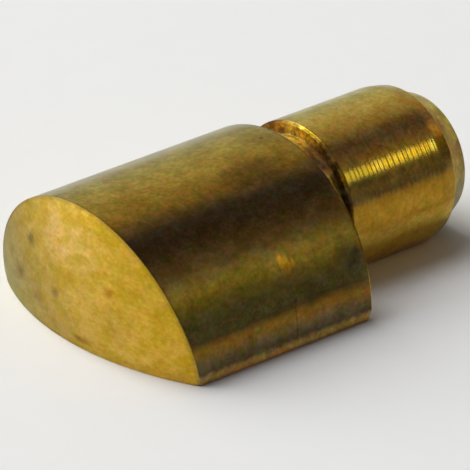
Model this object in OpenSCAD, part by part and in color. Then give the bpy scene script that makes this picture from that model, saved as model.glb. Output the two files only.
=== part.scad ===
// Shelf support pin turned from a length of half-round brass bar.
// The bar lies on its flat. One end is turned down to a round pin that plugs
// into a hole in a cabinet side, and the other keeps the bar's half-round
// section as the head, with a domed end. Pin and dome share one turning axis,
// which runs along X. X = 0 is the shoulder that meets the cabinet side, and
// Z = 0 is the flat that carries the shelf.

/* [Half-round bar] */
// Radius of the bar's round back
crown_r = 4.3; // [3.8:0.1:6]
// Height of the bar, from its flat to the top of its back
bar_h = 4.4; // [3.8:0.1:5]
// Small chamfer along the two long edges of the flat
edge_break = 0.08; // [0.02:0.01:0.3]

/* [Head] */
// Length of the head, from the shoulder to the tip of the dome
head_l = 8.1; // [5:0.1:14]
// Radius of the domed end
dome_r = 8.8; // [6:0.1:20]
// Chamfer round the back edge of the head
shoulder_chamfer = 0.06; // [0.02:0.01:0.3]

/* [Neck] */
// Length of the relief neck between the shoulder and the pin
neck_l = 0.8; // [0.3:0.05:2]
// Depth of the neck below the surface of the pin
neck_depth = 0.4; // [0.1:0.05:1]

/* [Pin] */
// Diameter of the pin
pin_d = 5; // [4:0.1:6]
// Length of the pin's full-diameter barrel
barrel_l = 3.8; // [2:0.1:12]
// Chamfer on the rim of the barrel beside the neck
rim_chamfer = 0.07; // [0.02:0.01:0.3]

/* [Lead-in] */
// Length of the slow taper that follows the barrel
taper_l = 0.46; // [0.2:0.01:1]
// How much the slow taper takes off the radius
taper_drop = 0.09; // [0.02:0.01:0.3]
// Step in radius between the taper and the nose
nose_step = 0.09; // [0.02:0.01:0.3]
// Length of the conical nose
nose_l = 0.89; // [0.3:0.01:2]
// How much the cone of the nose takes off the radius
nose_drop = 0.37; // [0.1:0.01:0.8]
// Chamfer round the end face of the nose
nose_chamfer = 0.08; // [0.02:0.01:0.2]

/* [Hidden] */
$fn = 96;

// The pin is the largest that the bar allows: its top is flush with the
// bar's back, which sets the turning axis.
pin_r = pin_d / 2;
axis_h = bar_h - pin_r;
neck_r = pin_r - neck_depth;
taper_r = pin_r - taper_drop;
nose_r = taper_r - nose_step;
nose_tip_r = nose_r - nose_drop;

// Stations along the pin, from the shoulder
barrel_end = neck_l + barrel_l;
taper_end = barrel_end + taper_l;
nose_end = taper_end + nose_l;

// Half the width of the flat, where the round back meets it
flat_half_w = sqrt(pow(crown_r, 2) - pow(crown_r - bar_h, 2));

// The neck starts this far inside the head, so that the two are one solid
root = 1;
// Spare length on cutting and enclosing shapes
spare = 1;
// Half the size of a block that clears the whole part
clear = 2 * (head_l + nose_end + crown_r);

// Stands its children on an axis along +X at height h above the flat.
module along_x(h) {
    translate([0, 0, h]) rotate([0, 90, 0]) children();
}

// The bar, ending at the shoulder. Its flat is still to be cut.
module round_bar() {
    bar_l = head_l + spare;
    along_x(bar_h - crown_r) {
        translate([0, 0, -bar_l])
            cylinder(r = crown_r, h = bar_l - shoulder_chamfer);
        translate([0, 0, -shoulder_chamfer])
            cylinder(r1 = crown_r, r2 = crown_r - shoulder_chamfer,
                     h = shoulder_chamfer);
    }
}

// A round-nosed form about the turning axis that gives the head its dome.
module domed_form() {
    along_x(axis_h)
        translate([0, 0, dome_r - head_l])
            rotate_extrude() {
                intersection() {
                    circle(r = dome_r);
                    translate([0, -dome_r]) square([dome_r, dome_r]);
                }
                square([dome_r, clear]);
            }
}

module head() {
    intersection() {
        round_bar();
        domed_form();
    }
}

// Neck, barrel, slow taper and nose, turned as one profile.
module pin() {
    along_x(axis_h)
        rotate_extrude()
            polygon([
                [0, -root],
                [neck_r, -root],
                [neck_r, neck_l],
                [pin_r - rim_chamfer, neck_l],
                [pin_r, neck_l + rim_chamfer],
                [pin_r, barrel_end],
                [taper_r, taper_end],
                [nose_r, taper_end],
                [nose_tip_r, nose_end - nose_chamfer],
                [nose_tip_r - nose_chamfer, nose_end],
                [0, nose_end]
            ]);
}

// The bar's flat, which runs on under the neck and the pin.
module below_flat() {
    translate([-clear, -clear, -clear]) cube([2 * clear, 2 * clear, clear]);
}

// A square prism on each long edge of the flat, which leaves a chamfer.
module edge_cuts() {
    side = edge_break * sqrt(2);
    for (s = [-1, 1])
        translate([-head_l - spare, s * flat_half_w, 0])
            rotate([45, 0, 0])
                translate([0, -side / 2, -side / 2])
                    cube([head_l + 2 * spare, side, side]);
}

module shelf_pin() {
    color("goldenrod")
        difference() {
            union() {
                head();
                pin();
            }
            below_flat();
            edge_cuts();
        }
}

shelf_pin();
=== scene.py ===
"""Looks of a brass shelf support pin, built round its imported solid.

The part is a length of half-round brass bar. One end is turned down to a
pin with a relief neck and a tapered nose, and the other keeps the bar's
section and has a domed end. All of it is one piece of metal, so it is made
here as one mesh: the head and the pin are shaped in millimetres, joined,
and scaled to metres at the end.
"""

import logging
import math
from dataclasses import dataclass, field
from enum import Enum
from typing import Any, Callable

import bmesh
import bpy
from mathutils import Matrix, Vector


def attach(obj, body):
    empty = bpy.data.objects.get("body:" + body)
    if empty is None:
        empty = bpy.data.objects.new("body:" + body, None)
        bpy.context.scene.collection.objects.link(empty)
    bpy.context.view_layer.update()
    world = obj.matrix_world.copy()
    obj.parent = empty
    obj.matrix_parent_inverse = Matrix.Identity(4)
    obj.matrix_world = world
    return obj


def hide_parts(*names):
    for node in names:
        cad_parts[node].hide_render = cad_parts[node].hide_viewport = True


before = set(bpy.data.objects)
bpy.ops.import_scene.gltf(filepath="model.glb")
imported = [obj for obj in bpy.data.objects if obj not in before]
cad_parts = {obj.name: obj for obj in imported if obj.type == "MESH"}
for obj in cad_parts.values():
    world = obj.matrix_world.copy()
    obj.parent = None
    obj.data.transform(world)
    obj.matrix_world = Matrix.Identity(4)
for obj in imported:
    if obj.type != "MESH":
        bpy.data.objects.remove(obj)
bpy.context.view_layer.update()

Point = tuple[float, float]
Spot = tuple[float, float, float]
Paint = tuple[float, float, float]
Span = tuple[float, ...]  # where a fade starts and ends, then its values if not 0 and 1

LOG = logging.getLogger("shelf_pin")
CLEAN: Paint = (1.0, 1.0, 1.0)
METRES_PER_MM = 0.001
WELD = 1e-4  # points nearer than this, in millimetres, are made one
SNAP = 1e-5  # a cut runs through points that are nearer to it than this
FINE_SNAP = 1e-6  # the same for the small cuts at the corners
ON_FLAT = 1e-3  # a point lower than this lies on the flat
SQUARE = 0.999  # the least share of a normal along the axis that it follows


def ease(share: float) -> float:
    """Smooths a share at both of its ends, 0 and 1."""
    return share * share * (3 - 2 * share)


# ---------------------------------------------------------------- modelling


class Part(Enum):
    """What a selection is made of, and its name in a mesh."""

    FACE = "faces"
    EDGE = "edges"


class Direction(Enum):
    """The two ways along the part's axis."""

    TO_DOME = -1
    TO_PIN = 1


class Bench:
    """The modelling operators that the pieces share, in millimetres."""

    @staticmethod
    def clear() -> None:
        """Leaves edit mode and deselects every object."""
        if bpy.context.mode != "OBJECT":
            bpy.ops.object.mode_set(mode="OBJECT")
        bpy.ops.object.select_all(action="DESELECT")

    @staticmethod
    def take(piece: bpy.types.Object, mode: str = "OBJECT") -> None:
        """Makes one object the only one selected and the active one.

        Args:
            piece: The object to work on.
            mode: The mode that it is put in.
        """
        Bench.clear()
        piece.select_set(True)
        bpy.context.view_layer.objects.active = piece
        bpy.ops.object.mode_set(mode=mode)

    @staticmethod
    def select_all() -> None:
        """Selects everything in edit mode."""
        bpy.ops.mesh.select_all(action="SELECT")

    @staticmethod
    def select(piece: bpy.types.Object, part: Part, wanted: Callable[[Any], bool]) -> int:
        """Selects, in edit mode, only the faces or the edges that pass a test.

        Args:
            piece: The object in edit mode.
            part: Faces or edges.
            wanted: The test on a face or an edge.

        Returns:
            How many are selected.
        """
        mesh = bmesh.from_edit_mesh(piece.data)
        mesh.normal_update()
        bpy.ops.mesh.select_mode(type=part.name)
        bpy.ops.mesh.select_all(action="DESELECT")
        chosen = [item for item in getattr(mesh, part.value) if wanted(item)]
        for item in chosen:
            item.select_set(True)
        bmesh.update_edit_mesh(piece.data)
        return len(chosen)

    @staticmethod
    def cut(point: Spot, normal: Spot, snap: float = SNAP, **settings: Any) -> None:
        """Cuts what is selected with the plane through a point that faces along a normal."""
        bpy.ops.mesh.bisect(plane_co=point, plane_no=normal, threshold=snap, **settings)

    @staticmethod
    def cut_flat() -> None:
        """Cuts away all that lies below height 0, and closes the cut."""
        Bench.select_all()
        Bench.cut((0.0, 0.0, 0.0), (0.0, 0.0, 1.0), use_fill=True, clear_inner=True)

    @staticmethod
    def round_off(width: float, segments: int) -> None:
        """Rounds the selected edges.

        Args:
            width: How far the rounding reaches from the edge.
            segments: How many faces the rounding has across it.
        """
        bpy.ops.mesh.bevel(
            offset=width, offset_type="OFFSET", segments=segments, profile=0.5,
            affect="EDGES", clamp_overlap=True,
        )

    @staticmethod
    def apply(piece: bpy.types.Object, kind: str, **settings: Any) -> None:
        """Adds a modifier to a piece, sets it and applies it.

        Args:
            piece: The object that gets the modifier.
            kind: The modifier's type.
            **settings: The modifier's properties.
        """
        Bench.take(piece)
        bpy.ops.object.modifier_add(type=kind)
        modifier = piece.modifiers[-1]
        for name, value in settings.items():
            setattr(modifier, name, value)
        bpy.ops.object.modifier_apply(modifier=modifier.name)


@dataclass
class BarHead:
    """The head: half-round bar with a domed end and a flat shoulder.

    Lengths are in millimetres. The bar lies on its flat at height 0, and the
    shoulder is in the plane X = 0. A cut that wears a corner has a height, up
    to which it reaches, and the depth to which it goes at the flat.
    """

    crown_radius: float = 4.2996
    height: float = 4.3996
    length: float = 8.1
    dome_radius: float = 8.8
    turning_axis_height: float = 1.9
    long_edge_round: float = 0.07
    rim_round: float = 0.035
    shoulder_round: float = 0.045
    round_segments: int = 3
    sharp_angle: float = 40.0
    crown_steps: int = 360
    flat_steps: int = 72
    dome_rings: int = 30
    dome_form_splits: int = 8
    spare: float = 0.1
    shoulder_wear: tuple[Point, ...] = ((0.60, 0.05), (0.40, 0.105), (0.16, 0.15))
    rim_wear: tuple[Point, ...] = ((0.13, 0.035), (0.06, 0.06))
    wear_reach: float = 0.4

    @property
    def crown_centre_height(self) -> float:
        """Height of the axis of the bar's round back."""
        return self.height - self.crown_radius

    @property
    def dome_centre(self) -> Vector:
        """Centre of the dome's sphere."""
        return Vector((self.dome_radius - self.length, 0.0, self.turning_axis_height))

    @property
    def flat_half_width(self) -> float:
        """Half the width of the flat, where the round back meets it."""
        return math.sqrt(self.crown_radius**2 - self.crown_centre_height**2)

    @property
    def stock_end(self) -> float:
        """Where the bar stock ends, before its dome is formed."""
        return -self.length - self.spare

    def build(self) -> bpy.types.Object:
        """Makes the head as one closed mesh.

        Returns:
            The head's object, in millimetres.
        """
        bar = self._half_round_bar()
        self._ring_the_end(bar)
        self._form_dome(bar)
        self._round_rims(bar)
        self._wear_corners(bar)
        return bar

    def _half_round_bar(self) -> bpy.types.Object:
        """Makes the bar stock, cut flat, with its two long edges eased.

        Returns:
            The bar's object, left in edit mode.
        """
        Bench.clear()
        bpy.ops.mesh.primitive_cylinder_add(
            vertices=self.crown_steps, radius=self.crown_radius, depth=-self.stock_end,
            end_fill_type="NGON", rotation=(0.0, math.pi / 2, 0.0),
            location=(self.stock_end / 2, 0.0, self.crown_centre_height),
        )
        bar = bpy.context.object
        bpy.ops.object.transform_apply(location=True, rotation=True, scale=True)
        bpy.ops.object.mode_set(mode="EDIT")
        Bench.cut_flat()

        def is_long_edge(edge: Any) -> bool:
            """Tells an edge that runs the whole length of the flat."""
            near, far = (v.co for v in edge.verts)
            return max(abs(near.z), abs(far.z)) < ON_FLAT and abs(near.x - far.x) > self.length / 2

        Bench.select(bar, Part.EDGE, is_long_edge)
        Bench.round_off(self.long_edge_round, self.round_segments)
        reach = self.flat_half_width - self.long_edge_round
        for step in range(1, self.flat_steps):
            place = reach * (2 * step / self.flat_steps - 1)
            Bench.select(bar, Part.FACE, lambda f: f.normal.z < -SQUARE)
            Bench.cut((0.0, place, 0.0), (0.0, 1.0, 0.0))
        return bar

    def _ring_the_end(self, bar: bpy.types.Object) -> None:
        """Fills the end that gets the dome with rings, and closes the middle.

        Args:
            bar: The bar stock in edit mode.
        """
        middle = (self.stock_end, 0.0, self.turning_axis_height)
        Bench.select(bar, Part.FACE, lambda f: f.normal.x < -SQUARE)
        size = 1.0
        for ring in range(1, self.dome_rings):
            wanted = 1.0 - ring / self.dome_rings
            shrink = wanted / size
            bpy.ops.mesh.extrude_region_move(TRANSFORM_OT_translate={"value": (0.0, 0.0, 0.0)})
            bpy.ops.transform.resize(value=(1.0, shrink, shrink), center_override=middle)
            size = wanted
        bpy.ops.mesh.merge(type="CENTER")
        bpy.ops.object.mode_set(mode="OBJECT")

    def _form_dome(self, bar: bpy.types.Object) -> None:
        """Moves the ringed end along the axis on to the dome's sphere.

        Args:
            bar: The bar with its end in rings.
        """
        group = bar.vertex_groups.new(name="dome")
        at_end = [v.index for v in bar.data.vertices if v.co.x < self.stock_end + WELD]
        group.add(at_end, 1.0, "REPLACE")
        Bench.clear()
        bpy.ops.mesh.primitive_ico_sphere_add(
            subdivisions=self.dome_form_splits, radius=self.dome_radius, location=self.dome_centre
        )
        form = bpy.context.object
        Bench.apply(
            bar, "SHRINKWRAP", target=form, wrap_method="PROJECT", vertex_group=group.name,
            use_project_x=True, use_positive_direction=True, use_negative_direction=False,
        )
        bpy.data.objects.remove(form, do_unlink=True)
        bar.vertex_groups.clear()

    def _round_rims(self, bar: bpy.types.Object) -> None:
        """Rounds the dome's rim and the shoulder's edge.

        Args:
            bar: The head with its dome formed.
        """
        Bench.take(bar, "EDIT")
        sharp = math.radians(self.sharp_angle)
        rims = ((Direction.TO_DOME, self.rim_round), (Direction.TO_PIN, self.shoulder_round))
        for way, width in rims:

            def is_rim(edge: Any) -> bool:
                """Tells a sharp edge on the wanted side of the head's middle."""
                if not edge.is_manifold or edge.calc_face_angle() < sharp:
                    return False
                return all((v.co.x + self.length / 2) * way.value > 0 for v in edge.verts)

            count = Bench.select(bar, Part.EDGE, is_rim)
            Bench.round_off(width, self.round_segments)
            LOG.info("head: %d edges rounded, %s", count, way.name)
        bpy.ops.object.mode_set(mode="OBJECT")

    def _wear_corners(self, bar: bpy.types.Object) -> None:
        """Wears the four corners of the flat, each with a few small leaning cuts.

        Args:
            bar: The head with its rims rounded.
        """
        half = self.flat_half_width
        reach = math.sqrt(self.dome_radius**2 - half**2 - self.turning_axis_height**2)
        ends = (
            (0.0, Direction.TO_PIN, self.shoulder_wear),
            (self.dome_centre.x - reach, Direction.TO_DOME, self.rim_wear),
        )
        Bench.take(bar, "EDIT")
        for place, way, cuts in ends:
            Bench.select_all()
            Bench.cut((place - way.value * self.wear_reach, 0.0, 0.0), (1.0, 0.0, 0.0), FINE_SNAP)
            for side in (-1.0, 1.0):
                out = Vector((way.value, side, 0.0)).normalized()
                for height, depth in cuts:
                    lean = (out * height - Vector((0.0, 0.0, depth))).normalized()
                    Bench.select_all()
                    Bench.cut((place, side * half, height), lean, FINE_SNAP, clear_outer=True)
                    Bench.select_all()
                    bpy.ops.mesh.fill_holes(sides=0)
        bpy.ops.object.mode_set(mode="OBJECT")
        LOG.info("head: corners of the flat worn")


@dataclass
class TurnedPin:
    """The neck, barrel, taper and nose, turned about one axis.

    Lengths are in millimetres from the shoulder, along the pin. The outline is
    made of points, each with its distance from the shoulder and its radius.
    """

    axis_height: float = 1.9
    root: float = 1.0
    neck_radius: float = 2.1
    neck_end: float = 0.8
    radius: float = 2.4996
    rim_chamfer: float = 0.07
    barrel_end: float = 4.6
    taper_radius: float = 2.41
    taper_end: float = 5.06
    taper_places: Span = (0.06, 0.12, 0.18, 0.24, 0.30, 0.36, 0.42, 0.56, 0.70, 0.84)
    nose_radius: float = 2.32
    nose_tip_radius: float = 1.95
    nose_end: float = 5.95
    nose_chamfer: float = 0.08
    corner_ease: float = 0.02
    taper_ease: float = 0.10
    ridge_start: float = 0.93
    ridge_pitch: float = 0.178
    ridge_swing: float = 0.24
    ridge_swing_rate: float = 2.4
    ridge_depth: float = 0.0031
    ridge_lean: float = 0.62
    ridge_softness: float = 0.35
    ridge_points: int = 10
    faint_until: float = 1.5
    faint_fade: float = 0.4
    faint_depth: float = 0.45
    waver_depth: float = 0.14
    waver_rates: Point = (7.3, 3.1)
    waver_start: float = 0.6
    turn_steps: int = 240

    def _ridge_strength(self, along: float) -> float:
        """Says how deep the tool cut at a place on the barrel.

        Args:
            along: Distance from the shoulder.

        Returns:
            A share of the full ridge depth.
        """
        grown = ease(min(max((along - self.faint_until) / self.faint_fade, 0.0), 1.0))
        fast, slow = self.waver_rates
        wave = math.sin(fast * along + self.waver_start) * math.sin(slow * along)
        waver = 1 - self.waver_depth + self.waver_depth * wave
        return (self.faint_depth + (1 - self.faint_depth) * grown) * waver

    def _hollow(self, part: float) -> float:
        """Gives the form of one turn of the tool, which leans to one side.

        Args:
            part: The share of the ridge's width.

        Returns:
            The share of its depth.
        """
        fall = min(part / self.ridge_lean, (1 - part) / (1 - self.ridge_lean))
        return ease(fall) * self.ridge_softness + fall * (1 - self.ridge_softness)

    def _ridges(self) -> list[Point]:
        """Gives the barrel's outline, a wave for each turn of the tool.

        Returns:
            Points along the barrel.
        """
        points = []
        length = self.barrel_end - self.taper_ease - self.ridge_start
        turns = range(round(length / self.ridge_pitch))
        widths = [1 + self.ridge_swing * math.sin(self.ridge_swing_rate * n * n + 1) for n in turns]
        start = self.ridge_start
        for width in widths:
            pitch = length * width / sum(widths)
            depth = self.ridge_depth * self._ridge_strength(start + pitch / 2)
            for step in range(self.ridge_points):
                part = step / self.ridge_points
                points.append((start + part * pitch, self.radius - depth * self._hollow(part)))
            start += pitch
        points.append((start, self.radius))
        return points

    def _taper(self) -> list[Point]:
        """Gives the slow taper's outline, which curves over from the barrel.

        Returns:
            Points along the taper, up to a little before its end.
        """
        start = self.barrel_end - self.taper_ease
        length = self.taper_end - start
        drop = self.radius - self.taper_radius
        bend = 2 * self.taper_ease / length
        points = []
        for part in self.taper_places:
            fall = part * part / (2 * bend) if part < bend else part - bend / 2
            fall *= drop / (1 - bend / 2)
            points.append((start + part * length, self.radius - fall))
        return points

    def _eased(self, corner: Point, before: Point, after: Point) -> list[Point]:
        """Replaces a sharp corner of the outline with a small curve.

        Args:
            corner: The corner.
            before: The point that comes before it.
            after: The point that follows it.

        Returns:
            Four points that round the corner.
        """
        here = Vector(corner)
        back = (Vector(before) - here).normalized() * self.corner_ease
        ahead = (Vector(after) - here).normalized() * self.corner_ease
        parts = (0.0, 1 / 3, 2 / 3, 1.0)
        return [tuple(here + (back * (1 - part) ** 2 + ahead * part**2)) for part in parts]

    def _outline(self) -> list[Point]:
        """Gives the pin's whole outline, from the axis back to the axis.

        Returns:
            The outline's points.
        """
        middle = self._ridges() + self._taper()
        first = [(-self.root, 0.0), (-self.root, self.neck_radius)]
        before = [
            first[-1],
            (self.neck_end, self.neck_radius),
            (self.neck_end, self.radius - self.rim_chamfer),
            (self.neck_end + self.rim_chamfer, self.radius),
            middle[0],
        ]
        after = [
            middle[-1],
            (self.taper_end, self.taper_radius),
            (self.taper_end, self.nose_radius),
            (self.nose_end - self.nose_chamfer, self.nose_tip_radius),
            (self.nose_end, self.nose_tip_radius - self.nose_chamfer),
            (self.nose_end, 0.0),
        ]
        return first + self._ease_all(before) + middle + self._ease_all(after) + after[-1:]

    def _ease_all(self, corners: list[Point]) -> list[Point]:
        """Eases each corner of a stretch of the outline but its first and last.

        Args:
            corners: The corners in order.

        Returns:
            The points between the first and the last.
        """
        points: list[Point] = []
        for before, corner, after in zip(corners, corners[1:], corners[2:]):
            points.extend(self._eased(corner, before, after))
        return points

    def build(self) -> bpy.types.Object:
        """Makes the pin as one closed mesh, cut by the bar's flat.

        Returns:
            The pin's object, in millimetres.
        """
        outline = self._outline()
        Bench.clear()
        bpy.ops.mesh.primitive_plane_add(size=0.1)
        pin = bpy.context.object
        bpy.ops.object.mode_set(mode="EDIT")
        Bench.select_all()
        bpy.ops.mesh.merge(type="CENTER")
        bpy.ops.mesh.select_mode(type="VERT")
        Bench.select_all()
        first = (outline[0][0], 0.0, self.axis_height + outline[0][1])
        bpy.ops.transform.translate(value=first)
        for here, there in zip(outline, outline[1:]):
            move = (there[0] - here[0], 0.0, there[1] - here[1])
            bpy.ops.mesh.extrude_region_move(TRANSFORM_OT_translate={"value": move})
        Bench.select_all()
        bpy.ops.mesh.spin(
            steps=self.turn_steps, angle=math.tau, center=(0.0, 0.0, self.axis_height),
            axis=(1.0, 0.0, 0.0),
        )
        Bench.select_all()
        bpy.ops.mesh.remove_doubles(threshold=WELD)
        bpy.ops.mesh.normals_make_consistent(inside=False)
        Bench.cut_flat()
        bpy.ops.object.mode_set(mode="OBJECT")
        LOG.info("pin: outline of %d points turned", len(outline))
        return pin


# ---------------------------------------------------------------- shading


class Wire:
    """A socket that does sums. Each operator adds the Math node for it."""

    def __init__(self, board: "Board", socket: bpy.types.NodeSocket) -> None:
        """Wraps an output socket of a node on a board."""
        self.board = board
        self.socket = socket

    def _sum(self, operation: str, *terms: Any) -> "Wire":
        """Adds a Math node for an operation on values or wires."""
        return self.board.add("ShaderNodeMath", {"operation": operation}, dict(enumerate(terms)))

    def __add__(self, other: Any) -> "Wire":
        """Adds."""
        return self._sum("ADD", self, other)

    def __radd__(self, other: Any) -> "Wire":
        """Adds, with the wire second."""
        return self._sum("ADD", other, self)

    def __sub__(self, other: Any) -> "Wire":
        """Subtracts."""
        return self._sum("SUBTRACT", self, other)

    def __rsub__(self, other: Any) -> "Wire":
        """Subtracts the wire from something."""
        return self._sum("SUBTRACT", other, self)

    def __mul__(self, other: Any) -> "Wire":
        """Multiplies."""
        return self._sum("MULTIPLY", self, other)

    def __rmul__(self, other: Any) -> "Wire":
        """Multiplies, with the wire second."""
        return self._sum("MULTIPLY", other, self)

    def turn_from(self, upright: Any) -> "Wire":
        """Gives the angle in degrees whose far side is the wire and whose near side is given."""
        return self._sum("ARCTAN2", self, upright) * math.degrees(1.0)

    def root(self) -> "Wire":
        """Gives the square root."""
        return self._sum("SQRT", self)

    def fade(self, start: float, end: float, low: float = 0.0, high: float = 1.0) -> "Wire":
        """Fades smoothly from a low value, up to the start, to a high one, from the end on."""
        inputs = dict(enumerate((self, start, end, low, high)))
        return self.board.add("ShaderNodeMapRange", {"interpolation_type": "SMOOTHSTEP"}, inputs)

    def mix(self, first: Any, second: Any) -> "Wire":
        """Mixes two colours, with the wire as the share of the second."""
        inputs = {"Factor_Float": self, "A_Color": Board.paint(first), "B_Color": Board.paint(second)}
        return self.board.add("ShaderNodeMix", {"data_type": "RGBA"}, inputs, "Result_Color")

    def blend(self, first: Any, second: Any) -> "Wire":
        """Mixes two plain values, with the wire as the share of the second."""
        inputs = {"Factor_Float": self, "A_Float": first, "B_Float": second}
        return self.board.add("ShaderNodeMix", {"data_type": "FLOAT"}, inputs, "Result_Float")

    def vector(self, operation: str, *others: Any, output: str = "Vector") -> "Wire":
        """Adds a Vector Math node for an operation on the wire and other vectors or colours."""
        inputs = dict(enumerate((self, *others)))
        return self.board.add("ShaderNodeVectorMath", {"operation": operation}, inputs, output)

    def times(self, other: Any) -> "Wire":
        """Multiplies a colour or a vector by another."""
        return self.vector("MULTIPLY", other)

    def shade(self, amount: Any) -> "Wire":
        """Multiplies a colour or a vector by a plain value."""
        inputs = {0: self, "Scale": amount}
        return self.board.add("ShaderNodeVectorMath", {"operation": "SCALE"}, inputs)

    def tint(self, share: "Wire", tone: Any) -> "Wire":
        """Multiplies a colour by a tone where a share says so."""
        return self.times(share.mix(CLEAN, tone))

    def noise(
        self, scale: float, detail: float, rough: float = 0.55, output: str = "Fac"
    ) -> "Wire":
        """Gives soft noise round 0.5, with the wire as its coordinates.

        Args:
            scale: How many features fit in one unit.
            detail: How many finer layers are added.
            rough: How strong each finer layer is.
            output: "Fac" for values, or "Color" for colours.

        Returns:
            The noise.
        """
        inputs = {"Vector": self, "Scale": scale, "Detail": detail, "Roughness": rough}
        return self.board.add("ShaderNodeTexNoise", {"noise_dimensions": "3D"}, inputs, output)


class Board:
    """A node tree that is filled through one method."""

    def __init__(self, tree: bpy.types.NodeTree) -> None:
        """Empties the node tree of a material or world and takes it over."""
        self.tree = tree
        tree.nodes.clear()

    def add(
        self, kind: str, settings: dict[str, Any] | None = None,
        inputs: dict[int | str, Any] | None = None, output: int | str = 0,
    ) -> Wire:
        """Adds a node, sets it, and connects it.

        Args:
            kind: The node's type.
            settings: The node's properties. For a colour ramp, "stops" is a
                list of places with their colours.
            inputs: Values or wires for the sockets, by number, identifier or
                name.
            output: Which output to give back.

        Returns:
            The chosen output.
        """
        node = self.tree.nodes.new(kind)
        for name, value in (settings or {}).items():
            if name == "stops":
                self._set_stops(node.color_ramp, value)
            else:
                setattr(node, name, value)
        for key, value in (inputs or {}).items():
            socket = self._find(node.inputs, key)
            if isinstance(value, Wire):
                self.tree.links.new(value.socket, socket)
            else:
                socket.default_value = value
        return Wire(self, self._find(node.outputs, output) if node.outputs else None)

    @staticmethod
    def _find(sockets: Any, key: int | str) -> bpy.types.NodeSocket:
        """Finds a socket by number, identifier or name.

        Args:
            sockets: A node's inputs or outputs.
            key: The number, identifier or name.

        Returns:
            The socket.
        """
        if isinstance(key, int):
            return sockets[key]
        named = [socket for socket in sockets if socket.identifier == key]
        return named[0] if named else sockets[key]

    @staticmethod
    def _set_stops(ramp: bpy.types.ColorRamp, stops: list[tuple[float, Paint]]) -> None:
        """Gives a colour ramp its stops.

        Args:
            ramp: The ramp, which has two stops to begin with.
            stops: Places with their colours, in order.
        """
        while len(ramp.elements) < len(stops):
            ramp.elements.new(0.5)
        for element, (place, colour) in zip(ramp.elements, stops):
            element.position = place
            element.color = (*colour, 1.0)

    @staticmethod
    def paint(colour: Any) -> Any:
        """Gives a colour its alpha, and leaves a wire as it is."""
        return colour if isinstance(colour, Wire) else (*colour, 1.0)


Layers = tuple[Wire, Wire, Wire]


@dataclass(frozen=True)
class Bands:
    """Colours that follow one another across a surface. On this part they hold the
    brass's tone together with painted reflections and painted shade.

    Attributes:
        low: Where the bands begin, in the unit of what they follow.
        high: Where they end.
        stops: Places with their colours, in order.
    """

    low: float
    high: float
    stops: tuple[tuple[float, Paint], ...]

    def paint(self, value: Wire) -> Wire:
        """Makes the colour at each place.

        Args:
            value: What the bands follow.

        Returns:
            The colour.
        """
        span = self.high - self.low
        stops = [((place - self.low) / span, colour) for place, colour in self.stops]
        share = (value - self.low) * (1 / span)
        return value.board.add("ShaderNodeValToRGB", {"stops": stops}, {0: share})


@dataclass(frozen=True)
class Zone:
    """A stretch of a surface where something differs from the rest.

    Attributes:
        middle: Its middle, in the unit that the bands follow.
        near: How far from the middle it is all there.
        far: How far from the middle it has faded out.
        inside: The value in the stretch.
        outside: The value elsewhere.
    """

    middle: float = 0.0
    near: float = 1.0
    far: float = 2.0
    inside: float = 0.0
    outside: float = 0.0

    def amount(self, value: Wire) -> Wire:
        """Makes the value at each place, from what the stretch follows."""
        off = value - self.middle
        return (off * off).root().fade(self.near, self.far, self.inside, self.outside)


@dataclass(frozen=True)
class Places:
    """Wires that tell where a point of the metal is, in millimetres and degrees.

    Attributes:
        spot: The point itself.
        along: How far it is from the shoulder, along the pin.
        side: How far it is across the part.
        height: How high it is above the flat.
        round_bar: Its angle round the bar's axis, from the top to the near side.
        round_pin: The same angle round the pin's axis.
        off_pin: How far it is from the pin's axis.
        off_dome: How far it is from the dome's centre.
        ragged: Noise that makes an edge uneven.
    """

    spot: Wire
    along: Wire
    side: Wire
    height: Wire
    round_bar: Wire
    round_pin: Wire
    off_pin: Wire
    off_dome: Wire
    ragged: Wire


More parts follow.
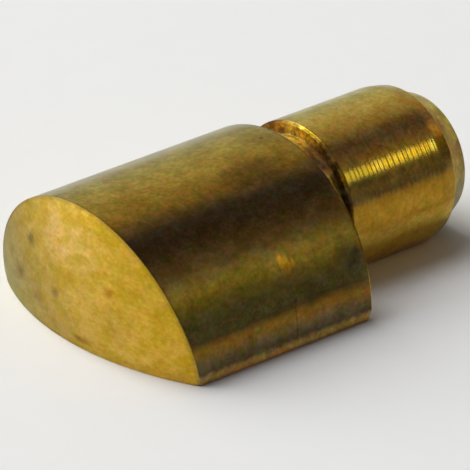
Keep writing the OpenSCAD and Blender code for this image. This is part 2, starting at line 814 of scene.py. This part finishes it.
@dataclass(frozen=True)
class Skin:
    """One kind of surface on the brass.

    Attributes:
        bands: The colour from one side of the part to the other: the brass's own
        tone, with painted reflections and painted shade in it.
        roughness: How far the gloss spreads.
        roughness_swing: How much that varies from place to place.
        patch_scale: Patches of patina to the millimetre.
        pale: What a pale patch multiplies the colour by.
        brown: What a brown patch multiplies it by.
        grain_scale: Grains to the millimetre.
        grain_height: Height of the grain, in millimetres.
        grain_shade: How far a grain's colour departs from the mean.
        speck_scale: Specks of tarnish to the millimetre.
        speck_depth: How far a speck departs from the mean in each colour.
        calm: The share of that depth at the low end of the bands and at the
            high end. It is all there in the middle.
        low_end: Where the low end's share stops and the middle begins.
        high_end: Where the middle stops and the high end's share begins.
        stretch: What the texture's place is multiplied by along X, Y and Z.
        dull: The roughness that is added.
        quiet: What the depth of the specks is multiplied by.
        patch_span: The noise values of the palest and the brownest patches.
        patch_detail: Finer layers in the patches.
        grain_detail: Finer layers in the grain.
        speck_layers: Finer layers in the specks, and how strong each is.
        tone_scale: Specks in tone for each speck in hue.
    """

    bands: Bands
    roughness: float
    roughness_swing: float
    patch_scale: float
    pale: Paint
    brown: Paint
    grain_scale: float
    grain_height: float
    grain_shade: float
    speck_scale: float
    speck_depth: Paint
    calm: Point = (1.0, 1.0)
    low_end: Span = (6.0, 24.0)
    high_end: Span = (68.0, 78.0)
    stretch: Spot = (1.0, 1.0, 1.0)
    dull: Zone = Zone()
    quiet: Zone = Zone(inside=1.0, outside=1.0)
    patch_span: Span = (0.36, 0.64)
    patch_detail: float = 4.0
    grain_detail: float = 2.0
    speck_layers: Point = (4.0, 0.68)
    tone_scale: float = 1.13

    def _specks(self, drawn: Wire, across: Wire) -> Wire:
        """Makes small specks that differ in tone and hue, round a mean of one.

        Args:
            drawn: Coordinates of the texture.
            across: What the bands follow.

        Returns:
            A colour to multiply by.
        """
        calm = across.fade(*self.low_end, self.calm[0], 1.0)
        calm = calm * across.fade(*self.high_end, 1.0, self.calm[1])
        calm = calm * self.quiet.amount(across)
        hues = drawn.noise(self.speck_scale, *self.speck_layers, "Color")
        tones = drawn.noise(self.tone_scale * self.speck_scale, *self.speck_layers)
        centred = hues.vector("ADD", tones).vector("SUBTRACT", CLEAN)
        return centred.shade(calm * 0.5).vector("MULTIPLY_ADD", self.speck_depth, CLEAN)

    def lay(self, spot: Wire, across: Wire) -> Layers:
        """Makes the skin's colour, roughness and height.

        Args:
            spot: Object coordinates in millimetres.
            across: What the bands follow.

        Returns:
            The colour, the roughness and the height.
        """
        drawn = spot.times(self.stretch)
        patches = drawn.noise(self.patch_scale, self.patch_detail)
        patina = patches.fade(*self.patch_span).mix(self.pale, self.brown)
        grain = drawn.noise(self.grain_scale, self.grain_detail) - 0.5
        colour = self.bands.paint(across).times(patina).shade(1.0 + grain * (4 * self.grain_shade))
        colour = colour.times(self._specks(drawn, across))
        rough = self.roughness + grain * (2 * self.roughness_swing) + self.dull.amount(across)
        return colour, rough, grain * (2 * self.grain_height * METRES_PER_MM)


@dataclass(frozen=True)
class Mark:
    """A small patch that multiplies the metal's colour. Some are stains and rubbed
    places; others are painted highlights and painted shade.

    Attributes:
        place: Its middle, in millimetres.
        reach: How far it reaches along X, Y and Z, in millimetres.
        tone: What it multiplies the colour by in its middle.
        core: The share of its reach over which it has its full tone.
        gloss: What it adds to the roughness in its middle.
    """

    place: Spot
    reach: Spot
    tone: Paint
    core: float = 0.2
    gloss: float = 0.0

    def lay(self, at: Places, colour: Wire, rough: Wire) -> tuple[Wire, Wire]:
        """Lays the mark over a colour and a roughness.

        Args:
            at: Where each point is.
            colour: The colour under the mark.
            rough: The roughness under the mark.

        Returns:
            The colour and the roughness with the mark on them.
        """
        offset = at.spot.vector("SUBTRACT", self.place)
        away = offset.times([1 / r for r in self.reach]).vector("LENGTH", output="Value")
        share = (away + at.ragged).fade(self.core, 1.0, 1.0, 0.0)
        if self.gloss:
            rough = rough + share * self.gloss
        return colour.tint(share, self.tone), rough


@dataclass(frozen=True)
class BrassFinish:
    """The brass of the whole part, with a skin for each way it was worked.

    The bands of the face, the root and the ring are what grime and painted shade
    in the neck multiply the colour by: the groove is darkened where shade falls in
    it. Spans along the part are in millimetres from the shoulder, spans of radii
    from the pin's axis or the bar's, and the two depths from the dome's centre.
    """

    # Each skin's bands are painted reflections and painted shade over the brass's tone: light and
    # dark bands round the bar and pin, and a dome darker low down and towards +Y.
    dome: Skin = Skin(
        Bands(-4.0, 8.0, (
            (-3.0, (0.40, 0.335, 0.064)),
            (-0.5, (0.465, 0.330, 0.054)),
            (1.5, (0.575, 0.390, 0.050)),
            (3.2, (0.645, 0.425, 0.050)),
            (5.2, (0.60, 0.385, 0.029)),
        )),
        0.45, 0.06, 2.4, (1.07, 1.04, 1.50), (0.92, 0.89, 0.62), 9.0, 0.003, 0.14,
        2.8, (0.80, 0.85, 1.90), stretch=(1.0, 0.70, 1.0),
    )
    bar: Skin = Skin(
        Bands(-90.0, 90.0, (
            (-10.0, (0.65, 0.46, 0.059)),
            (17.0, (0.59, 0.31, 0.032)),
            (27.0, (0.23, 0.15, 0.064)),
            (47.0, (0.37, 0.24, 0.053)),
            (57.0, (0.62, 0.46, 0.048)),
            (65.0, (0.24, 0.20, 0.052)),
            (73.0, (0.07, 0.05, 0.015)),
            (77.5, (0.21, 0.11, 0.012)),
            (84.0, (0.122, 0.090, 0.037)),
            (90.0, (0.10, 0.072, 0.030)),
        )),
        0.23, 0.05, 1.2, (1.09, 1.10, 1.25), (0.91, 0.88, 0.80), 9.0, 0.0006, 0.20,
        3.2, (2.30, 2.10, 4.00), (0.70, 1.0), stretch=(0.85, 1.0, 1.0),
        dull=Zone(54.0, 9.0, 20.0, 0.12, 0.0),
    )
    turned: Skin = Skin(
        Bands(-90.0, 120.0, (
            (-10.0, (0.80, 0.60, 0.105)),
            (22.0, (0.97, 0.51, 0.075)),
            (33.0, (0.65, 0.41, 0.129)),
            (44.0, (1.0, 0.61, 0.095)),
            (53.0, (0.86, 0.570, 0.020)),
            (60.0, (0.66, 0.48, 0.082)),
            (70.0, (0.27, 0.17, 0.045)),
            (75.0, (0.34, 0.19, 0.016)),
            (94.0, (0.44, 0.24, 0.019)),
            (107.0, (1.0, 0.66, 0.085)),
        )),
        0.18, 0.04, 1.6, (1.08, 1.10, 1.25), (0.92, 0.88, 0.80), 9.0, 0.0004, 0.18,
        3.4, (2.30, 2.10, 4.20), (0.50, 0.55), dull=Zone(54.5, 6.0, 9.5, 0.0, 0.07),
        quiet=Zone(52.5, 4.0, 8.0, 0.35, 1.0),
    )
    nose: Skin = Skin(
        Bands(-90.0, 90.0, (
            (-20.0, (0.70, 0.51, 0.046)),
            (20.0, (0.94, 0.67, 0.070)),
            (50.0, (0.52, 0.34, 0.040)),
            (65.0, (0.33, 0.20, 0.010)),
            (85.0, (0.37, 0.26, 0.012)),
        )),
        0.36, 0.05, 2.2, (1.18, 1.22, 1.50), (0.82, 0.76, 0.62), 8.0, 0.0010, 0.22,
        2.9, (2.20, 2.50, 4.20),
    )
    # Painted shade in the neck's groove, with some grime: what the colour is multiplied by on the
    # face beside the neck, on the neck's root and on the ring.
    face: Bands = Bands(-90.0, 90.0, (
        (-20.0, (0.72, 0.66, 0.56)),
        (5.0, (0.92, 0.76, 0.46)),
        (14.0, (0.45, 0.54, 0.35)),
        (24.0, (0.41, 0.45, 0.55)),
        (31.0, (0.62, 0.66, 0.72)),
        (42.0, (0.16, 0.17, 0.36)),
        (58.0, (0.17, 0.18, 0.70)),
        (72.0, (0.70, 0.82, 1.00)),
    ))
    root: Bands = Bands(-90.0, 90.0, (
        (-20.0, (0.68, 0.59, 0.44)),
        (-2.0, (0.53, 0.48, 0.23)),
        (10.0, (0.45, 0.43, 0.24)),
        (20.0, (0.30, 0.25, 0.19)),
        (30.0, (0.24, 0.21, 0.19)),
        (38.0, (0.30, 0.25, 0.31)),
        (48.0, (0.55, 0.52, 0.80)),
        (75.0, (0.40, 0.43, 0.70)),
    ))
    ring: Bands = Bands(-90.0, 90.0, (
        (-20.0, (0.34, 0.28, 0.22)),
        (-8.0, (0.26, 0.21, 0.13)),
        (2.0, (0.59, 0.56, 0.33)),
        (14.0, (0.45, 0.54, 0.31)),
        (22.0, (0.23, 0.21, 0.24)),
        (30.0, (0.33, 0.25, 0.22)),
        (44.0, (0.16, 0.15, 0.32)),
        (54.0, (0.90, 0.90, 1.00)),
        (62.0, (0.48, 0.46, 1.00)),
        (85.0, (0.80, 0.80, 1.00)),
    ))
    ragged_noise: Point = (4.0, 2.0)
    ragged_depth: float = 0.9
    ragged_nose: float = 0.12
    ragged_foot: float = 0.20
    waver_scale: Spot = (0.45, 1.0, 1.0)
    waver_noise: Point = (1.0, 4.0)
    waver_depth: float = 6.0
    grime_roughness: float = 0.45
    grime_metal: float = 0.42
    streak_noise: Point = (4.5, 3.0)
    streak_tones: Span = (0.36, 0.64, 0.60, 1.45)
    edge_tint: Paint = (0.62, 0.69, 0.80)
    bar_axis_height: float = 0.1
    pin_axis_height: float = 1.9
    dome_centre: Spot = (0.7, 0.0, 1.9)
    dome_depth: Span = (8.75, 8.79)
    pin_start: Span = (-0.05, -0.01)
    nose_start: Span = (4.97, 5.07)
    lip_end: Span = (5.12, 5.26)
    tip_start: Span = (5.88, 5.94, 1.0, 0.0)
    foot_height: Span = (0.04, 0.38, 1.0, 0.0)
    foot_angle: Span = (60.0, 80.0)
    neck_start: Span = (-0.02, 0.0)
    neck_end: Span = (0.88, 0.92, 1.0, 0.0)
    neck_radii: Span = (2.488, 2.498, 1.0, 0.0)
    root_radii: Span = (2.12, 2.26, 1.0, 0.0)
    face_radii: Span = (2.14, 2.36, 0.74, 1.35)
    ring_radii: Span = (2.40, 2.44)
    crown_radii: Span = (4.17, 4.26)
    rim_depth: Span = (8.71, 8.75)
    shoulder_start: Span = (-0.10, -0.05)
    shoulder_end: Span = (0.0, 0.02, 1.0, 0.0)
    shoulder_height: Span = (1.1, 2.0)
    lip: Paint = (1.30, 1.34, 1.60)
    # Painted shade that dims the highlights on the dome's rim and on the shoulder's edge.
    rim: Paint = (0.78, 0.79, 0.98)
    shoulder: Paint = (0.70, 0.66, 0.66)
    # Painted highlight: the pale line along the bottom edge of the near side.
    foot_highlight: Paint = (8.4, 7.4, 4.4)
    tip_end: Paint = (0.78, 0.56, 0.115)
    tip_end_share: float = 0.8
    marks: tuple[Mark, ...] = (
        Mark((-7.843, 1.98, 2.60), (0.30, 0.42, 0.32), (0.50, 0.48, 0.70), 0.0),
        Mark((-7.680, 2.60, 1.25), (0.32, 0.50, 0.46), (0.66, 0.56, 0.66), 0.0),
        Mark((-8.069, 0.62, 1.47), (0.26, 0.36, 0.22), (0.58, 0.56, 0.66), 0.0),
        Mark((-7.939, -1.62, 2.31), (0.26, 0.28, 0.28), (0.80, 0.64, 0.54), 0.1),
        Mark((-7.938, -0.40, 0.32), (0.24, 0.62, 0.17), (0.64, 0.48, 0.48), 0.0),
        Mark((-8.028, 1.10, 2.00), (0.24, 0.24, 0.20), (0.84, 0.80, 0.85), 0.0),
        Mark((-7.900, 1.55, 0.95), (0.30, 0.50, 0.50), (0.84, 0.80, 0.86), 0.0),
        # Partly the dome's tone, partly painted light: a paler, creamier top.
        Mark((-7.890, 0.30, 3.30), (0.60, 2.30, 1.15), (1.09, 1.11, 1.85), 0.2),
        Mark((-7.864, -1.90, 1.25), (0.50, 1.30, 0.80), (0.87, 0.88, 0.90), 0.1),
        Mark((-0.60, 0.10, 4.38), (1.10, 0.95, 0.50), (0.78, 0.75, 0.84), 0.1),
        Mark((-0.621, 0.091, 4.399), (0.10, 0.07, 0.10), (0.45, 0.42, 0.50)),
        # Painted reflection: the head's dark band reaches further up near the shoulder end.
        Mark((-2.10, -1.19, 4.23), (1.60, 0.75, 0.50), (0.60, 0.58, 0.80), 0.3),
        # A rubbed spot on the head: lower roughness, with a glint painted into its colour.
        Mark((-3.05, -3.52, 2.57), (0.15, 0.30, 0.34), (2.10, 1.30, 0.50), 0.2, -0.10),
        Mark((-2.86, -3.62, 2.42), (0.17, 0.32, 0.40), (2.20, 1.40, 0.55), 0.2, -0.12),
        Mark((-2.64, -3.61, 2.44), (0.11, 0.22, 0.26), (2.20, 1.40, 0.65), 0.2, -0.12),
        # Painted highlights: glints along the top of the dome's rim.
        Mark((-7.750, 0.24, 4.34), (0.12, 0.16, 0.12), (1.34, 1.36, 1.70), 0.1),
        Mark((-7.760, -0.26, 4.30), (0.12, 0.22, 0.12), (1.34, 1.36, 1.70), 0.1),
        Mark((-7.715, -0.60, 4.32), (0.12, 0.60, 0.12), (1.15, 1.15, 1.10)),
        Mark((5.24, -1.32, 3.70), (0.16, 0.34, 0.26), (0.78, 0.58, 0.50), 0.2),
        Mark((5.22, -1.93, 3.08), (0.18, 0.30, 0.34), (1.30, 0.92, 0.62), 0.2),
        Mark((4.84, -1.80, 3.64), (0.13, 0.24, 0.26), (1.25, 0.86, 0.60), 0.2),
        Mark((-2.91, -3.98, 1.72), (0.06, 0.36, 0.60), (0.70, 0.74, 0.85)),
        Mark((-2.95, -4.24, 0.78), (0.06, 0.30, 0.80), (0.66, 0.66, 0.85)),
        Mark((-2.90, -3.96, 1.79), (0.05, 0.10, 0.14), (1.80, 1.35, 1.20)),
        # Painted highlight on the neck, then painted shade at the neck's far end.
        Mark((0.60, -1.56, 3.31), (0.15, 0.34, 0.34), (1.90, 1.90, 1.80), 0.1),
        Mark((0.79, -1.72, 3.20), (0.09, 0.42, 0.42), (0.36, 0.34, 0.50), 0.3),
        # Painted highlights on the shoulder's round edge.
        Mark((-0.02, -2.46, 3.62), (0.10, 0.28, 0.28), (1.70, 1.70, 1.80), 0.1),
        Mark((-0.02, -2.80, 3.36), (0.08, 0.16, 0.20), (1.60, 1.50, 1.60)),
        # Painted shade that dims the highlights on the ring's chamfer and on the neck.
        Mark((0.84, -1.10, 4.12), (0.10, 0.75, 0.60), (0.50, 0.50, 0.42), 0.3),
        Mark((0.82, 1.30, 3.95), (0.16, 1.10, 0.90), (0.50, 0.36, 0.40), 0.3),
        Mark((0.86, -0.42, 4.36), (0.12, 0.36, 0.40), (0.62, 0.68, 0.30), 0.2),
        Mark((0.45, -0.30, 4.00), (0.26, 0.42, 0.30), (0.66, 0.80, 0.45), 0.2),
        # Painted highlight: the pin's glint dimmed near the neck and brightened at two places.
        Mark((1.34, -1.98, 3.42), (0.62, 0.50, 0.50), (0.62, 0.66, 0.85), 0.5),
        Mark((2.22, -1.98, 3.42), (0.34, 0.40, 0.40), (1.16, 1.22, 1.80), 0.4),
        Mark((4.44, -1.98, 3.42), (0.14, 0.40, 0.40), (1.16, 1.22, 1.80), 0.4),
        Mark((-0.52, -3.72, 2.20), (0.62, 0.60, 0.95), (0.60, 0.64, 0.90), 0.3),
        Mark((-0.31, -3.77, 2.18), (0.14, 0.12, 0.22), (0.62, 0.66, 1.10), 0.1),
    )

    def _places(self, board: Board) -> Places:
        """Works out where each point of the metal is.

        Args:
            board: The material's board.

        Returns:
            The wires that tell it.
        """
        spot = board.add("ShaderNodeTexCoord", output="Object").shade(1 / METRES_PER_MM)
        along, side, height = (
            board.add("ShaderNodeSeparateXYZ", inputs={0: spot}, output=axis) for axis in "XYZ"
        )
        front = 0.0 - side
        rise = height - self.pin_axis_height
        return Places(
            spot, along, side, height,
            round_bar=front.turn_from(height - self.bar_axis_height),
            round_pin=front.turn_from(rise),
            off_pin=(side * side + rise * rise).root(),
            off_dome=spot.vector("DISTANCE", self.dome_centre, output="Value"),
            ragged=(spot.noise(*self.ragged_noise) - 0.5) * self.ragged_depth,
        )

    @staticmethod
    def _over(share: Wire, under: Layers, over: Layers) -> Layers:
        """Lays one skin over another, which shows where the share is 0."""
        colour = share.mix(under[0], over[0])
        return colour, share.blend(under[1], over[1]), share.blend(under[2], over[2])

    def _bar_skin(self, at: Places) -> Layers:
        """Makes the bar's skin, with a painted highlight: a pale line along the bottom edge of its
        near side.

        Args:
            at: Where each point is.

        Returns:
            The colour, the roughness and the height.
        """
        waver = (at.spot.times(self.waver_scale).noise(*self.waver_noise) - 0.5) * self.waver_depth
        colour, *others = self.bar.lay(at.spot, at.round_bar + waver)
        # Painted highlight along the bottom edge of the near side.
        low = (at.height + at.ragged * self.ragged_foot).fade(*self.foot_height)
        low = low * at.round_bar.fade(*self.foot_angle)
        return (colour.tint(low, self.foot_highlight), *others)

    def _nose_skin(self, at: Places, uneven: Wire) -> Layers:
        """Makes the nose's skin, with the paler lip where it begins and its plainer end.

        Args:
            at: Where each point is.
            uneven: Distance along the part with an uneven edge.

        Returns:
            The colour, the roughness and the height.
        """
        facing = at.along.fade(*self.tip_start)
        colour, *others = self.nose.lay(at.spot, at.round_pin * facing)
        lip = colour.times(uneven.fade(*self.lip_end).mix(self.lip, CLEAN))
        return (((1.0 - facing) * self.tip_end_share).mix(lip, self.tip_end), *others)

    def _edges(self, at: Places, colour: Wire) -> Wire:
        """Darkens the bar's rim round the dome, and its shoulder's round edge: painted shade
        that dims the highlights these rounded edges catch.

        Args:
            at: Where each point is.
            colour: The colour without the edges.

        Returns:
            The colour with the edges.
        """
        rise = at.height - self.bar_axis_height
        at_edge = (at.side * at.side + rise * rise).root().fade(*self.crown_radii)
        colour = colour.tint(at_edge * at.off_dome.fade(*self.rim_depth), self.rim)
        by_shoulder = at.along.fade(*self.shoulder_start) * at.along.fade(*self.shoulder_end)
        high = rise.fade(*self.shoulder_height)
        return colour.tint(at_edge * by_shoulder * high, self.shoulder)

    def _grime_and_shade(self, at: Places, on_root: Wire) -> Wire:
        """Makes what grime and painted shade round the neck multiply the colour by.

        Args:
            at: Where each point is.
            on_root: A value of 1 on the neck itself.

        Returns:
            Their colour on the neck, the face beside it and its ring.
        """
        face = self.face.paint(at.round_pin).shade(at.off_pin.fade(*self.face_radii))
        outer = at.off_pin.fade(*self.ring_radii).mix(face, self.ring.paint(at.round_pin))
        grime_and_shade = on_root.mix(outer, self.root.paint(at.round_pin))
        return grime_and_shade.shade(at.spot.noise(*self.streak_noise).fade(*self.streak_tones))

    def _neck(self, at: Places, colour: Wire, rough: Wire) -> tuple[Wire, Wire, Wire]:
        """Lays grime and painted shade on the neck and on the two faces beside it.

        Args:
            at: Where each point is.
            colour: The colour without grime and shade.
            rough: The roughness without it.

        Returns:
            The colour, the roughness and how much of the surface is metal.
        """
        inside = at.off_pin.fade(*self.neck_radii) * at.along.fade(*self.neck_end)
        in_neck = inside * at.along.fade(*self.neck_start)
        on_root = at.off_pin.fade(*self.root_radii)
        colour = in_neck.mix(colour, colour.times(self._grime_and_shade(at, on_root)))
        rough = in_neck.blend(rough, self.grime_roughness)
        return colour, rough, (in_neck * on_root).blend(1.0, self.grime_metal)

    def make(self) -> bpy.types.Material:
        """Makes the material.

        Returns:
            The brass material.
        """
        material = bpy.data.materials.new("brass")
        material.use_nodes = True
        board = Board(material.node_tree)
        at = self._places(board)
        uneven = at.along + at.ragged * self.ragged_nose
        turned = self.turned.lay(at.spot, at.round_pin)
        dome = self.dome.lay(at.spot, at.height - at.side)
        skin = self._over(at.along.fade(*self.pin_start), self._bar_skin(at), turned)
        skin = self._over(uneven.fade(*self.nose_start), skin, self._nose_skin(at, uneven))
        colour, rough, bumps = self._over(at.off_dome.fade(*self.dome_depth), skin, dome)
        colour, rough, metallic = self._neck(at, self._edges(at, colour), rough)
        for mark in self.marks:
            colour, rough = mark.lay(at, colour, rough)
        bump = {"Strength": 1.0, "Distance": 1.0, "Height": bumps}
        sockets = {
            "Base Color": colour,
            "Metallic": metallic,
            "Specular Tint": (*self.edge_tint, 1.0),
            "Roughness": rough,
            "Normal": board.add("ShaderNodeBump", inputs=bump),
        }
        metal = board.add("ShaderNodeBsdfPrincipled", inputs=sockets)
        board.add("ShaderNodeOutputMaterial", inputs={"Surface": metal})
        return material


# ---------------------------------------------------------------- studio


@dataclass
class View:
    """The camera, placed by angles, a focal length and a scale.

    Attributes:
        azimuth: Degrees round the part; 0 looks along +Y.
        elevation: Degrees above the horizon.
        roll: Degrees that the camera leans.
        focal_pixels: Focal length in pixels of the picture.
        pixels_per_mm: Scale at the aim point.
        aim: What the middle of the picture shows, in millimetres.
        offset: How far the view is moved right and up, in millimetres.
        picture: Width of the square picture in pixels.
        sensor: Width of the camera's sensor in millimetres.
        clip: Nearest and farthest distance that it sees, in metres.
    """

    azimuth: float = -42.9085
    elevation: float = 26.9184
    roll: float = 2.1364
    focal_pixels: float = 7193.32
    pixels_per_mm: float = 33.8150
    aim: Spot = (0.0, 0.0, 1.9)
    offset: Point = (-1.2033, -0.7640)
    picture: float = 470.0
    sensor: float = 36.0
    clip: Point = (0.005, 20.0)

    def place(self) -> None:
        """Makes the camera and sets it as the scene's."""
        turn, rise, lean = (math.radians(a) for a in (self.azimuth, self.elevation, self.roll))
        back = Vector(
            (math.sin(turn) * math.cos(rise), -math.cos(turn) * math.cos(rise), math.sin(rise))
        )
        level = Vector((math.cos(turn), math.sin(turn), 0.0))
        up = back.cross(level)
        right = level * math.cos(lean) + up * math.sin(lean)
        top = up * math.cos(lean) - level * math.sin(lean)
        spot = Vector(self.aim) + back * (self.focal_pixels / self.pixels_per_mm)
        spot += right * self.offset[0] + top * self.offset[1]
        data = bpy.data.cameras.new("camera")
        data.sensor_width = self.sensor
        data.lens = self.focal_pixels / self.picture * self.sensor
        data.clip_start, data.clip_end = self.clip
        camera = bpy.data.objects.new("camera", data)
        bpy.context.scene.collection.objects.link(camera)
        turned = Matrix((right, top, back)).transposed().to_4x4()
        camera.matrix_world = Matrix.Translation(spot * METRES_PER_MM) @ turned
        bpy.context.scene.camera = camera


@dataclass(frozen=True)
class Lamp:
    """A soft lamp that faces the part.

    Attributes:
        name: What the lamp is called.
        toward: The direction in which it stands, seen from the part.
        distance: How far away it stands, in metres.
        width: How wide it is, in metres.
        length: How long it is.
        along: The direction in which its length runs.
        power: Its power in watts.
    """

    name: str
    toward: Spot
    distance: float
    width: float
    length: float
    along: Spot
    power: float

    def place(self) -> None:
        """Makes the lamp."""
        data = bpy.data.lights.new(self.name, "AREA")
        data.shape = "ELLIPSE"
        data.size, data.size_y = self.width, self.length
        data.energy = self.power
        lamp = bpy.data.objects.new(self.name, data)
        bpy.context.scene.collection.objects.link(lamp)
        away = Vector(self.toward).normalized()
        across = Vector(self.along).cross(away).normalized()
        axes = Matrix((across, away.cross(across), away)).transposed()
        lamp.matrix_world = Matrix.Translation(away * self.distance) @ axes.to_4x4()


@dataclass(frozen=True)
class Glow:
    """A soft bright patch of the surroundings.

    Attributes:
        way: Direction from the part to its middle.
        start: How nearly a direction agrees with that where the glow begins.
        full: How nearly it agrees where the glow is full.
        colour: The light it gives.
    """

    way: Spot
    start: float
    full: float
    colour: Paint


@dataclass
class Studio:
    """The floor, the lamps, the surroundings and the camera.

    The paper's fibres are noise: its scale in metres and its detail, how far
    they darken the floor, what by, and the paper's roughness and gloss.
    """

    view: View = field(default_factory=View)
    lamps: tuple[Lamp, ...] = (
        Lamp("key", (-0.42, 0.66, 0.62), 0.50, 0.60, 0.60, (0.0, 0.0, 1.0), 2.20),
        Lamp("top", (-0.15, 0.30, 0.94), 0.50, 0.26, 0.26, (0.0, 1.0, 0.0), 0.55),
        Lamp("strip", (0.640, -0.581, 0.503), 0.50, 0.036, 0.11, (0.0, -0.66, -0.75), 0.0215),
    )
    floor_colour: Paint = (0.93, 0.93, 0.925)
    floor_size: float = 8.0
    floor_gap: float = 0.00001
    fibre_noise: Point = (900.0, 3.0)
    fibre_span: Span = (0.3, 0.7, 0.0, 0.25)
    fibre_shade: float = 0.97
    paper_roughness: float = 0.9
    paper_gloss: float = 0.2
    dim: Paint = (0.040, 0.032, 0.040)
    glows: tuple[Glow, ...] = (
        Glow((-0.05, 0.98, 0.12), -0.18, 1.17, (0.66, 0.69, 0.66)),
        Glow((-0.78, 0.60, 0.10), 0.50, 1.00, (0.95, 0.95, 0.92)),
        Glow((0.97, 0.18, 0.12), 0.90, 0.99, (0.40, 0.38, 0.31)),
        Glow((0.61, -0.58, 0.54), 0.80, 0.99, (0.105, 0.085, 0.080)),
        Glow((0.851, -0.171, 0.496), 0.985, 0.997, (0.42, 0.30, 0.18)),
        Glow((0.61, -0.79, 0.0), 0.95, 1.00, (0.20, 0.18, 0.16)),
    )

    def _floor(self) -> None:
        """Makes the pale floor."""
        Bench.clear()
        bpy.ops.mesh.primitive_plane_add(size=self.floor_size, location=(0.0, 0.0, -self.floor_gap))
        floor = bpy.context.object
        floor.name = "floor"
        material = bpy.data.materials.new("floor_paper")
        material.use_nodes = True
        board = Board(material.node_tree)
        place = board.add("ShaderNodeTexCoord", output="Object")
        fibre = place.noise(*self.fibre_noise).fade(*self.fibre_span)
        darker = tuple(self.fibre_shade * c for c in self.floor_colour)
        sockets = {
            "Base Color": fibre.mix(self.floor_colour, darker),
            "Roughness": self.paper_roughness,
            "Specular IOR Level": self.paper_gloss,
        }
        paper = board.add("ShaderNodeBsdfPrincipled", inputs=sockets)
        board.add("ShaderNodeOutputMaterial", inputs={"Surface": paper})
        floor.data.materials.append(material)

    def _surroundings(self) -> None:
        """Makes the world: a dim room with soft glows."""
        world = bpy.data.worlds.new("surroundings")
        bpy.context.scene.world = world
        world.use_nodes = True
        board = Board(world.node_tree)
        way = board.add("ShaderNodeTexCoord", output="Generated")
        light: Any = self.dim
        for glow in self.glows:
            near = way.vector("DOT_PRODUCT", Vector(glow.way).normalized(), output="Value")
            light = near.fade(glow.start, glow.full).mix(light, glow.colour)
        air = board.add("ShaderNodeBackground", inputs={"Color": light})
        board.add("ShaderNodeOutputWorld", inputs={"Surface": air})

    def build(self) -> None:
        """Sets up everything round the part."""
        bpy.context.scene.view_settings.view_transform = "Standard"
        self._floor()
        self._surroundings()
        for lamp in self.lamps:
            lamp.place()
        self.view.place()
        LOG.info("studio: %d lamps", len(self.lamps))


# ---------------------------------------------------------------- assembly


@dataclass
class ShelfPin:
    """The whole part: head and pin as one piece of brass."""

    head: BarHead = field(default_factory=BarHead)
    pin: TurnedPin = field(default_factory=TurnedPin)
    finish: BrassFinish = field(default_factory=BrassFinish)
    smooth_angle: float = 32.0
    normal_weight: int = 50

    def build(self) -> bpy.types.Object:
        """Makes the part and dresses it.

        Returns:
            The finished piece, in metres.
        """
        piece = self.head.build()
        pin = self.pin.build()
        Bench.apply(piece, "BOOLEAN", operation="UNION", solver="EXACT", object=pin)
        bpy.data.objects.remove(pin, do_unlink=True)
        Bench.take(piece, "EDIT")
        Bench.select_all()
        bpy.ops.mesh.remove_doubles(threshold=WELD)
        bpy.ops.mesh.dissolve_degenerate(threshold=WELD)
        bpy.ops.object.mode_set(mode="OBJECT")
        piece.scale = (METRES_PER_MM,) * 3
        bpy.ops.object.transform_apply(location=True, rotation=True, scale=True)
        bpy.ops.object.shade_smooth_by_angle(angle=math.radians(self.smooth_angle))
        Bench.apply(piece, "WEIGHTED_NORMAL", keep_sharp=True, weight=self.normal_weight)
        piece.name = "shelf_pin_brass"
        piece.data.name = piece.name
        piece.data.materials.clear()
        piece.data.materials.append(self.finish.make())
        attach(piece, "root")
        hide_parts("shelf_pin")
        LOG.info("%s: %d faces", piece.name, len(piece.data.polygons))
        return piece


def main() -> None:
    """Builds the studio and the part."""
    logging.basicConfig(level=logging.INFO, format="%(name)s: %(message)s")
    Studio().build()
    ShelfPin().build()
    bpy.context.view_layer.update()


if __name__ == "__main__":
    main()
